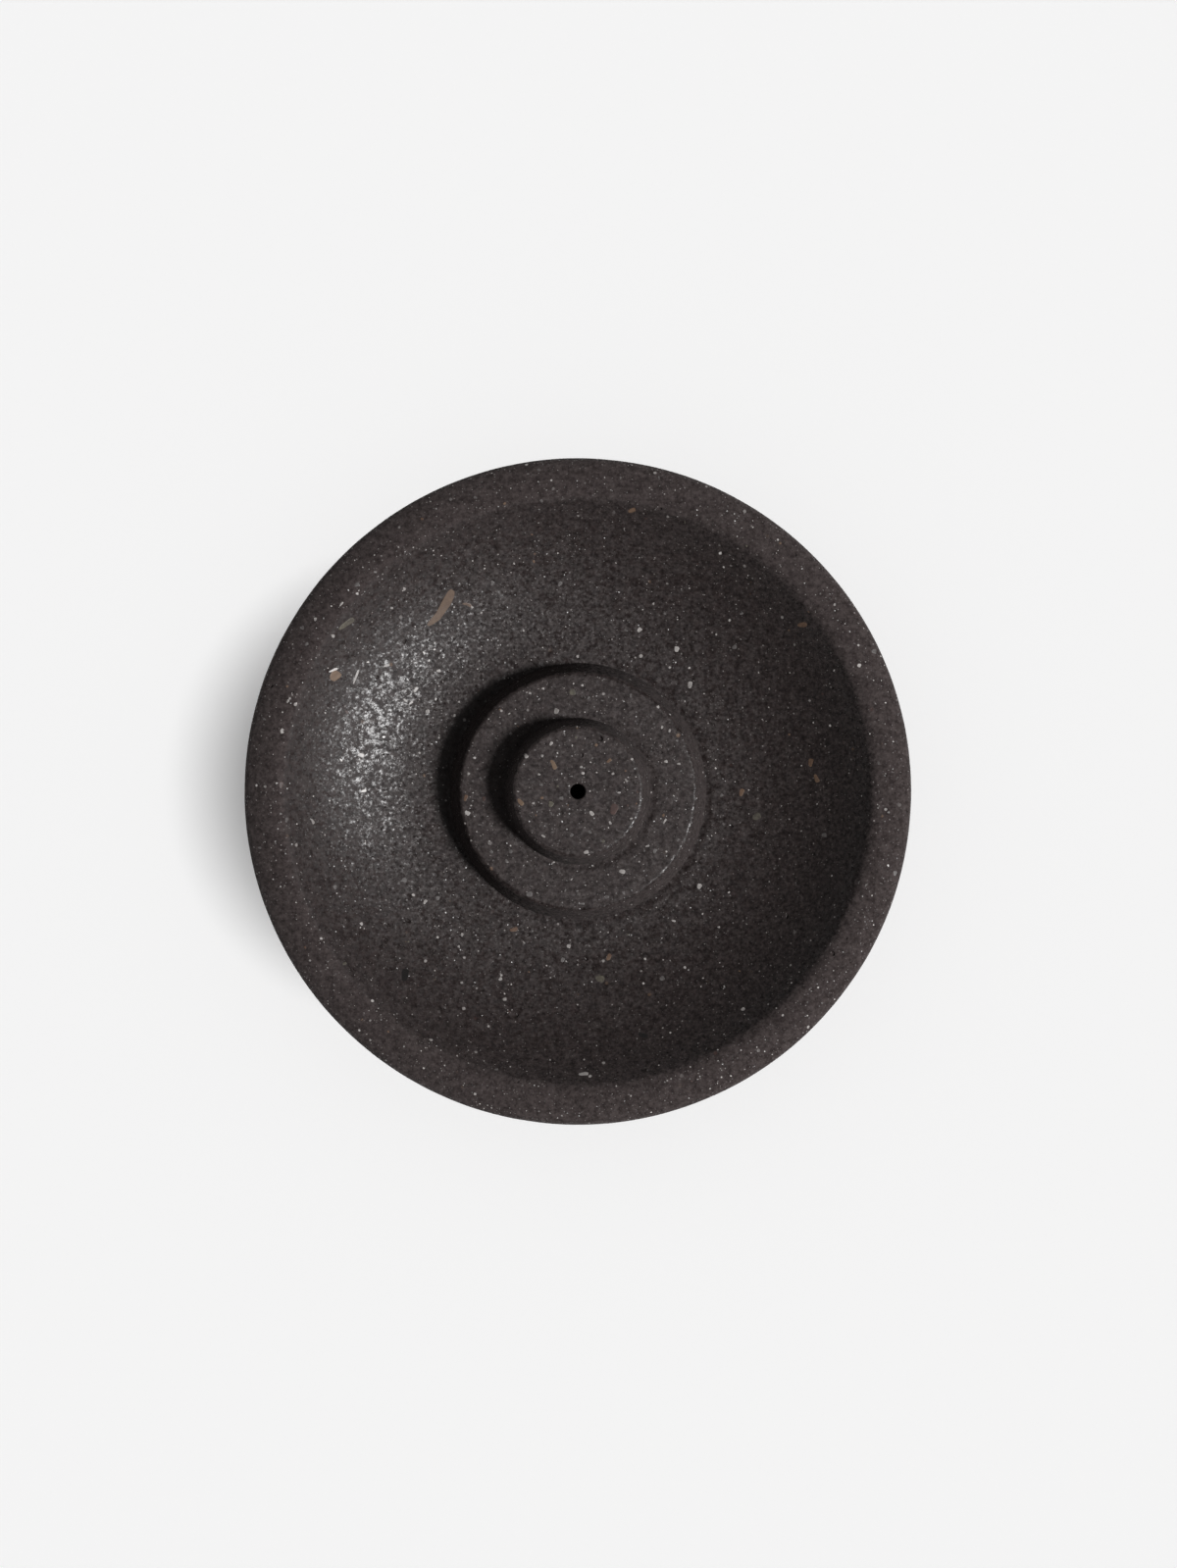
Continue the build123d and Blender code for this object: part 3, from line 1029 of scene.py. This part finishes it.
def matt_paper(finish, glow):
    """Matt white paper: even and pale, with a little light of its own so that shadows stay soft."""
    material, tree = new_material("matt_paper")
    inputs = {"Base Color": finish.paper, "Roughness": 1, "Specular IOR Level": 0}
    coat(tree, inputs | {"Emission Color": finish.paper, "Emission Strength": glow})
    return material


DISH_SEGMENTS = 400
TIER_SEGMENTS = 540
PAD_SEGMENTS = 96
RECESS_SEGMENTS = 64
TIER_FINER = 0.7  # spacing along a tier's section as a share of the dish's

# Bands in millimetres, from the dish's seat out and from the rim's crest in.
SEAT_BLEND = 2.0
SEAT_WITHOUT_PITS = 1.0
SANDED_FROM, SANDED_TO = 2.6, 1.1

# Bands in millimetres, from where a tier stands up and from the axis out.
FOOT_STILL, FOOT_FINISHED = -0.2, 0.6
BORE_STILL, BORE_FINISHED = 1.4, 2.4
FOOT_WITHOUT_PITS = 0.3
BORE_WITHOUT_PITS = 3.0


def piece_section(node, shape):
    """A turned piece's half section, with the crowns of the tiers' tops."""
    spacing = shape.spacing / MM
    if node == "dish":
        return dish_section(spacing)
    draw = {"lower_tier": lower_tier_section, "stick_holder": stick_holder_section}[node]
    return crowned(draw(spacing * TIER_FINER), node, shape)


class INCENSE_OT_dish(Operator):
    """Builds the ground dish with its air holes and pad recesses"""

    bl_idname = "incense.dish"
    bl_label = "Dish"

    def execute(self, context):
        shape = context.scene.holder_shape
        section = piece_section("dish", shape)
        piece = lathe("dish_casting", section, DISH_SEGMENTS)
        seat = floor_edge().x
        underside = foot_height("dish")

        def shown(radius, height):
            return ramp(radius, seat, seat + SEAT_BLEND) if height > underside + TINY else 0

        finish_by_hand(piece, shape, shown)
        rng = random.Random(SEEDS["dish"])
        outer = [i for i, point in enumerate(section) if point.x > seat + SEAT_WITHOUT_PITS]
        shell = section[outer[0] : outer[-1]]
        taken = chip_places(section, all_chips("dish", section, shape))
        pits = [(*top_place(section, x, y), radius) for x, y, radius in DEEP_PITS]
        pits += random_pits(rng, shell, shape.dish_pits, taken)
        cut(piece, pit_cutter("dish_pits", rng, pits, shape))
        cut(piece, self.recesses(underside))
        crest = outer_radius("dish") - RIM_WIDTH

        def polish(vertex):
            sanded = ramp(plan(vertex.co) / MM, crest - SANDED_FROM, crest - SANDED_TO)
            return 1 - sanded if vertex.normal.z > 0 else 0

        shade(piece, terrazzo(context.scene.holder_finish))
        set_polish(piece, polish)
        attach(piece, "dish")
        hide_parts("dish")
        return {"FINISHED"}

    def recesses(self, underside):
        """Round cutters for the pads' recesses."""
        drums = bmesh.new()
        for pad in PADS:
            low, high = NODE_BOXES[pad]
            radius = (high.x - low.x) / 2 + PAD_CLEARANCE * MM
            depth = 2 * (high.z - underside * MM)
            place = Matrix.Translation(((low.x + high.x) / 2, (low.y + high.y) / 2, underside * MM))
            bmesh.ops.create_cone(
                drums,
                cap_ends=True,
                segments=RECESS_SEGMENTS,
                radius1=radius,
                radius2=radius,
                depth=depth,
                matrix=place,
            )
        return loose_piece("pad_recesses", drums)


class INCENSE_OT_tiers(Operator):
    """Builds the two lift-out tiers with their worn edges and air holes"""

    bl_idname = "incense.tiers"
    bl_label = "Tiers"

    def execute(self, context):
        shape = context.scene.holder_shape
        tiers = (
            ("lower_tier", floor_edge().y, True),
            ("stick_holder", top_height("lower_tier"), False),
        )
        for node, stands_on, closed in tiers:
            section = piece_section(node, shape)
            piece = lathe(f"{node}_casting", section, TIER_SEGMENTS, closed)

            def shown(radius, height):
                foot = ramp(height, stands_on + FOOT_STILL, stands_on + FOOT_FINISHED)
                return foot * ramp(radius, BORE_STILL, BORE_FINISHED)

            finish_by_hand(piece, shape, shown)
            drop, width = crown(node, shape)
            wear_edge(piece, top_edge(node), top_height(node) - drop, shape.edge_wear)
            rng = random.Random(SEEDS[node])
            taken = chip_places(section, all_chips(node, section, shape))
            lowest = stands_on + FOOT_WITHOUT_PITS
            outer = [point for point in section if point.y > lowest and point.x > BORE_WITHOUT_PITS]
            pits = random_pits(rng, outer, shape.tier_pits, taken)
            cut(piece, pit_cutter(f"{node}_pits", rng, pits, shape))
            shade(piece, terrazzo(context.scene.holder_finish))
            set_polish(piece, tier_polish)
            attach(piece, node)
            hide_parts(node)
        return {"FINISHED"}


class INCENSE_OT_chips(Operator):
    """Lays the stone and shell chips into the tops of the dish and the tiers"""

    bl_idname = "incense.chips"
    bl_label = "Chips"

    def execute(self, context):
        shape = context.scene.holder_shape
        finish = context.scene.holder_finish
        cement = finish.binder_dark
        looks = {
            "quartz": ("ground_quartz", finish.quartz, linear("#85807D"), 0.4, cement, 0.35),
            "cloudy": ("ground_cloudy_quartz", linear("#757170"), linear("#4C4746"), 0.5, cement, 0.4),
            "umber": ("ground_brown_stone", finish.umber, linear("#5E4334"), 0.5, cement, 0.4),
            "brick": ("ground_red_stone", finish.brick, linear("#45332F"), 0.55, cement, 0.5),
            "olive": ("ground_greenish_stone", finish.olive, linear("#4A4641"), 0.5, cement, 0.5),
            "shell": ("ground_shell", finish.shell, linear("#4A352A"), 0.5, cement, 0.1),
            "horn": ("ground_horn_shell", finish.horn, linear("#5C4637"), 0.45, cement, 0.1),
            # Spar is white stone whose white also paints glints in the key lamp's reflection.
            "spar": ("ground_white_spar_and_painted_glint", linear("#D6D2CF"), finish.quartz, 0.3, cement, 0.2),
            "basalt": ("ground_basalt", finish.basalt, linear("#070403"), 1.0, linear("#070403"), 0.5),
        }
        stones = {stone: chip_stone(*look) for stone, look in looks.items()}
        for node in CHIPS:
            section = piece_section(node, shape)
            lay_chips(node, section, all_chips(node, section, shape), shape, stones)
        return {"FINISHED"}


PAD_CUP_RADIUS = 3.0
PAD_CUP_LIP = 0.5
PAD_CUP_DEPTH = 0.15
PAD_SPACING = 0.3


class INCENSE_OT_pads(Operator):
    """Builds the moulded foot pads, slightly cupped underneath, in their recesses"""

    bl_idname = "incense.pads"
    bl_label = "Foot pads"

    def execute(self, context):
        rubber = moulded_rubber(context.scene.holder_finish)
        for pad in PADS:
            low, high = NODE_BOXES[pad]
            centre = (low + high) / 2
            radius = (high.x - low.x) / 2 / MM
            corners = (
                (0, PAD_CUP_DEPTH, 0),
                (PAD_CUP_RADIUS, PAD_CUP_DEPTH, PAD_CUP_LIP),
                (PAD_CUP_RADIUS + PAD_CUP_LIP, 0, PAD_CUP_LIP),
                (radius, 0, PAD_EDGE_ROUND),
                (radius, high.z / MM, 0),
                (0, high.z / MM, 0),
            )
            piece = lathe(f"{pad}_rubber", rounded_section(corners, PAD_SPACING), PAD_SEGMENTS)
            piece.data.transform(Matrix.Translation((centre.x, centre.y, 0)))
            shade(piece, rubber)
            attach(piece, "dish")
            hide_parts(pad)
        return {"FINISHED"}


FLOOR_RADIUS = 6.0
FLOOR_DROP = 0.02 * MM  # keeps the floor off the pads' undersides
KEY_ANGLE = math.radians(13)
ZENITH = 0.15
HORIZON = 0.85
WALL_FROM, WALL_TO = math.radians(4), math.radians(14)  # heights between which the room turns dim
DISC_SEGMENTS = 96

# The floor has a lamp of its own, shaded by a round flag that hangs far off beside the camera. Its soft
# shadow lies under the dish and shows to the left of it.
FLAG_RADIUS = 0.0375
FLAG_SHADOW = 0.030
FLAG_EDGE = 0.016
FLAG_DISTANCE = 3.0
FLOOR_LAMP_ANGLE = FLAG_EDGE / FLAG_DISTANCE


class INCENSE_OT_stage(Operator):
    """Sets up the pale floor, the lamps, the world and the camera straight above"""

    bl_idname = "incense.stage"
    bl_label = "Stage"

    def execute(self, context):
        scene = context.scene
        stage = scene.holder_stage
        scene.view_settings.view_transform = "Standard"
        floor = self.disc("floor", FLOOR_RADIUS, matt_paper(scene.holder_finish, stage.floor_glow))
        floor.location.z = -FLOOR_DROP
        flag = self.disc("flag", FLAG_RADIUS, black_card())
        key = self.lamp("key_lamp", stage.key_azimuth, stage.key_height, stage.key_strength, KEY_ANGLE)
        wide = self.lamp(
            "floor_lamp", stage.floor_azimuth, stage.floor_height, stage.floor_strength, FLOOR_LAMP_ANGLE
        )
        aside = Vector((math.cos(stage.floor_azimuth), math.sin(stage.floor_azimuth), 0))
        flag.location = wide.location.normalized() * FLAG_DISTANCE - aside * FLAG_SHADOW
        key.light_linking.receiver_collection = self.linked("key_skips", floor, "EXCLUDE")
        wide.light_linking.receiver_collection = self.linked("floor_lamp_lights", floor, "INCLUDE")
        wide.light_linking.blocker_collection = self.linked("floor_lamp_meets", flag, "INCLUDE")
        self.world(scene)
        self.camera(scene)
        return {"FINISHED"}

    def linked(self, name, item, state):
        """A collection that includes or excludes one object for a lamp."""
        group = bpy.data.collections.new(name)
        group.objects.link(item)
        group.collection_objects[0].light_linking.link_state = state
        return group

    def disc(self, name, radius, material):
        """A level disc that belongs to the stage."""
        outline = bmesh.new()
        bmesh.ops.create_circle(outline, cap_ends=True, segments=DISC_SEGMENTS, radius=radius)
        disc = loose_piece(name, outline)
        disc.data.materials.append(material)
        bpy.context.scene.collection.objects.link(disc)
        return disc

    def lamp(self, name, azimuth, height, strength, angle):
        """A far lamp at a bearing and height, so wide across."""
        data = bpy.data.lights.new(name, "SUN")
        data.energy = strength
        data.angle = angle
        lamp = bpy.data.objects.new(name, data)
        flat = math.cos(height)
        towards = Vector((flat * math.cos(azimuth), flat * math.sin(azimuth), math.sin(height)))
        lamp.location = towards
        lamp.rotation_euler = towards.to_track_quat("Z", "Y").to_euler()
        bpy.context.scene.collection.objects.link(lamp)
        return lamp

    def world(self, scene):
        """A dim room, pale only low down where the walls meet the floor."""
        world = bpy.data.worlds.new("studio")
        world.use_nodes = True
        tree = world.node_tree
        tree.nodes.clear()
        towards = add(tree, "ShaderNodeTexCoord").outputs["Generated"]
        height = add(tree, "ShaderNodeSeparateXYZ", {0: towards}).outputs["Z"]
        low, high = math.sin(WALL_FROM), math.sin(WALL_TO)
        level = remap(tree, height, low, high, HORIZON, ZENITH, interpolation_type="SMOOTHSTEP")
        light = add(tree, "ShaderNodeBackground", {"Color": (1, 1, 1, 1), "Strength": level})
        add(tree, "ShaderNodeOutputWorld", {"Surface": light.outputs[0]})
        scene.world = world

    def camera(self, scene):
        """A long lens straight above, placed so that the rim's circle lies where the photograph has it."""
        data = bpy.data.cameras.new("camera")
        data.lens = scene.holder_stage.lens
        camera = bpy.data.objects.new("camera", data)
        pixel = outer_radius("dish") * MM / RIM_RADIUS_PIXELS
        lip = (top_height("dish") - RIM_WIDTH / 2) * MM
        away = PHOTO_HEIGHT * pixel * data.lens / data.sensor_width
        camera.location = (
            (PHOTO_WIDTH / 2 - RIM_CENTRE_X) * pixel,
            (RIM_CENTRE_Y - PHOTO_HEIGHT / 2) * pixel,
            lip + away,
        )
        scene.collection.objects.link(camera)
        scene.camera = camera


class INCENSE_PT_sidebar(Panel):
    """Lists the builders and what they read"""

    bl_idname = "INCENSE_PT_sidebar"
    bl_label = "Incense Holder"
    bl_space_type = "VIEW_3D"
    bl_region_type = "UI"
    bl_category = "Incense Holder"

    def draw(self, context):
        for group in (context.scene.holder_shape, context.scene.holder_finish, context.scene.holder_stage):
            box = self.layout.box()
            for name in group.__annotations__:
                box.prop(group, name)
        for operator in OPERATORS:
            self.layout.operator(operator.bl_idname)


GROUPS = {"holder_shape": HolderShape, "holder_finish": HolderFinish, "holder_stage": HolderStage}
OPERATORS = (INCENSE_OT_stage, INCENSE_OT_dish, INCENSE_OT_tiers, INCENSE_OT_chips, INCENSE_OT_pads)
CLASSES = (*GROUPS.values(), *OPERATORS, INCENSE_PT_sidebar)


def register():
    for cls in CLASSES:
        bpy.utils.register_class(cls)
    for name, group in GROUPS.items():
        setattr(bpy.types.Scene, name, PointerProperty(type=group))


def unregister():
    for name in GROUPS:
        delattr(bpy.types.Scene, name)
    for cls in reversed(CLASSES):
        bpy.utils.unregister_class(cls)


def main():
    register()
    bpy.ops.incense.stage()
    bpy.ops.incense.dish()
    bpy.ops.incense.tiers()
    bpy.ops.incense.chips()
    bpy.ops.incense.pads()


if __name__ == "__main__":
    main()
